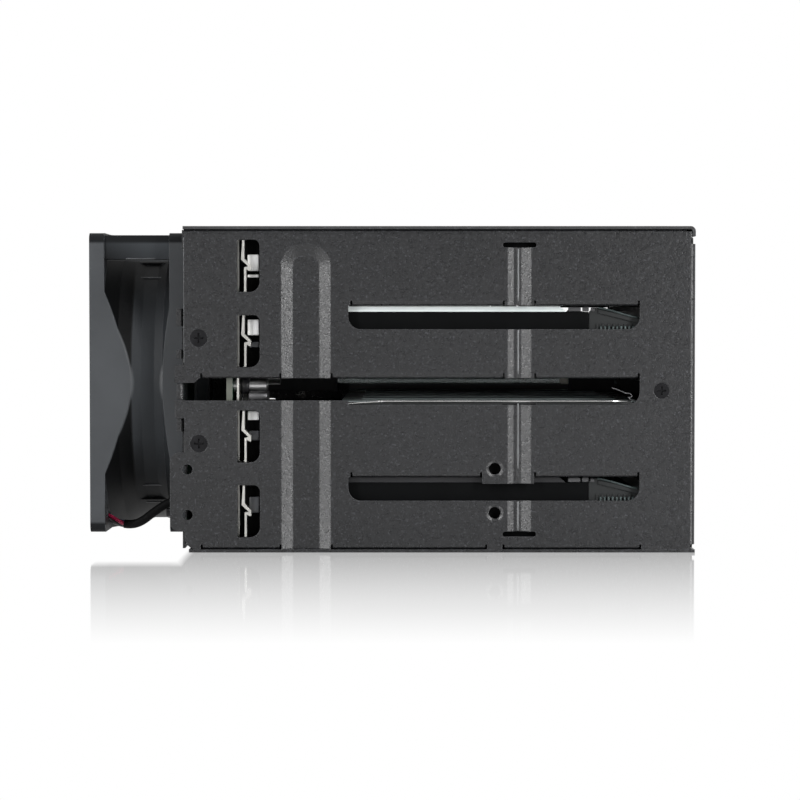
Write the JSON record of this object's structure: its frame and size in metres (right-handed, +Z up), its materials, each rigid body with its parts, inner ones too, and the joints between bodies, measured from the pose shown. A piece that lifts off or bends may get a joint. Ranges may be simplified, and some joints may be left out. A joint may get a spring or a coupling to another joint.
{
  "type": "hot swap drive cage",
  "caption": "Slotted sheet steel cage with stacked slide-out drive trays, swinging levers, release buttons, a backplane and a deep square fan on its rear.",
  "frame": {"origin": "bottom centre of the whole object's bounding box, on the plane that it rests on", "axes": "+X is the front, where the trays slide out, and -X the fan; +Z is up; -Y is the side that the picture shows"},
  "size_m": [0.241, 0.146, 0.129],
  "materials": {
    "powder_coat": "fine textured charcoal powder coat",
    "deck_coat": "glossy black paint",
    "bezel_plastic": "fine moulded black plastic",
    "lever_plastic": "satin black plastic",
    "button_plastic": "smooth dark grey plastic",
    "clear_acrylic": "clear moulded acrylic",
    "black_screws": "black oxide on steel",
    "fan_plastic": "glass filled black moulding",
    "rotor_plastic": "smooth black moulding",
    "lead_sleeve": "soft black sleeve",
    "white_plastic": "natural nylon",
    "board_green": "solder mask over fibreglass",
    "zinc_plate": "bright zinc plating",
    "can_aluminium": "drawn aluminium",
    "black_plastic": "moulded black thermoplastic",
    "tray_steel": "smooth black coated steel",
    "pin_steel": "polished steel"
  },
  "bodies": {
    "cage": {"backplane_board": "board_green", "backplane_bracket": "zinc_plate", "board_standoffs": "zinc_plate", "bottom_plate": "powder_coat", "bottom_screws": "black_screws", "capacitors": "can_aluminium", "centre_bar": "bezel_plastic", "centre_deck": "deck_coat", "cover_screws": "black_screws", "data_ports": "black_plastic", "drive_socket_1": "black_plastic", "drive_socket_2": "black_plastic", "drive_socket_3": "black_plastic", "drive_socket_4": "black_plastic", "fan_frame": "fan_plastic", "fan_header": "white_plastic", "fan_lead": "lead_sleeve", "fan_panel": "powder_coat", "fan_plug": "white_plastic", "fan_screws": "black_screws", "guide_holders": "black_plastic", "light_guides": "clear_acrylic", "power_inlets": "white_plastic", "side_plate_far": "powder_coat", "side_plate_near": "powder_coat", "side_screws": "black_screws", "top_cover": "powder_coat"},
    "rotor": {"fan_rotor": "rotor_plastic"},
    "tray_1": {"tray_frame_1": "tray_steel", "tray_bezel_1": "bezel_plastic", "lever_pin_1": "pin_steel", "light_pipes_1": "clear_acrylic"},
    "lever_1": {"tray_lever_1": "lever_plastic"},
    "button_1": {"release_button_1": "button_plastic"},
    "tray_2": {"tray_frame_2": "tray_steel", "tray_bezel_2": "bezel_plastic", "lever_pin_2": "pin_steel", "light_pipes_2": "clear_acrylic"},
    "lever_2": {"tray_lever_2": "lever_plastic"},
    "button_2": {"release_button_2": "button_plastic"},
    "tray_3": {"tray_frame_3": "tray_steel", "tray_bezel_3": "bezel_plastic", "lever_pin_3": "pin_steel", "light_pipes_3": "clear_acrylic"},
    "lever_3": {"tray_lever_3": "lever_plastic"},
    "button_3": {"release_button_3": "button_plastic"},
    "tray_4": {"tray_frame_4": "tray_steel", "tray_bezel_4": "bezel_plastic", "lever_pin_4": "pin_steel", "light_pipes_4": "clear_acrylic"},
    "lever_4": {"tray_lever_4": "lever_plastic"},
    "button_4": {"release_button_4": "button_plastic"}
  },
  "joints": [
    {"name": "fan_spin", "type": "hinge", "parent": "cage", "child": "rotor", "pos_m": [-0.1, 0, 0.0668], "axis": [1, 0, 0], "continuous": true},
    {"name": "tray_1_slide", "type": "slide", "parent": "cage", "child": "tray_1", "axis": [1, 0, 0], "range_m": [0, 0.165]},
    {"name": "lever_1_swing", "type": "hinge", "parent": "tray_1", "child": "lever_1", "pos_m": [0.1158, -0.0626, 0.0148], "axis": [0, 0, -1], "range_deg": [0, 70]},
    {"name": "button_1_press", "type": "slide", "parent": "tray_1", "child": "button_1", "axis": [-1, 0, 0], "range_m": [0, 0.002], "stiffness_N_per_m": 300},
    {"name": "tray_2_slide", "type": "slide", "parent": "cage", "child": "tray_2", "axis": [1, 0, 0], "range_m": [0, 0.165]},
    {"name": "lever_2_swing", "type": "hinge", "parent": "tray_2", "child": "lever_2", "pos_m": [0.1158, -0.0626, 0.04345], "axis": [0, 0, -1], "range_deg": [0, 70]},
    {"name": "button_2_press", "type": "slide", "parent": "tray_2", "child": "button_2", "axis": [-1, 0, 0], "range_m": [0, 0.002], "stiffness_N_per_m": 300},
    {"name": "tray_3_slide", "type": "slide", "parent": "cage", "child": "tray_3", "axis": [1, 0, 0], "range_m": [0, 0.165]},
    {"name": "lever_3_swing", "type": "hinge", "parent": "tray_3", "child": "lever_3", "pos_m": [0.1158, -0.0626, 0.0826], "axis": [0, 0, -1], "range_deg": [0, 70]},
    {"name": "button_3_press", "type": "slide", "parent": "tray_3", "child": "button_3", "axis": [-1, 0, 0], "range_m": [0, 0.002], "stiffness_N_per_m": 300},
    {"name": "tray_4_slide", "type": "slide", "parent": "cage", "child": "tray_4", "axis": [1, 0, 0], "range_m": [0, 0.165]},
    {"name": "lever_4_swing", "type": "hinge", "parent": "tray_4", "child": "lever_4", "pos_m": [0.1158, -0.0626, 0.11125], "axis": [0, 0, -1], "range_deg": [0, 70]},
    {"name": "button_4_press", "type": "slide", "parent": "tray_4", "child": "button_4", "axis": [-1, 0, 0], "range_m": [0, 0.002], "stiffness_N_per_m": 300}
  ]
}
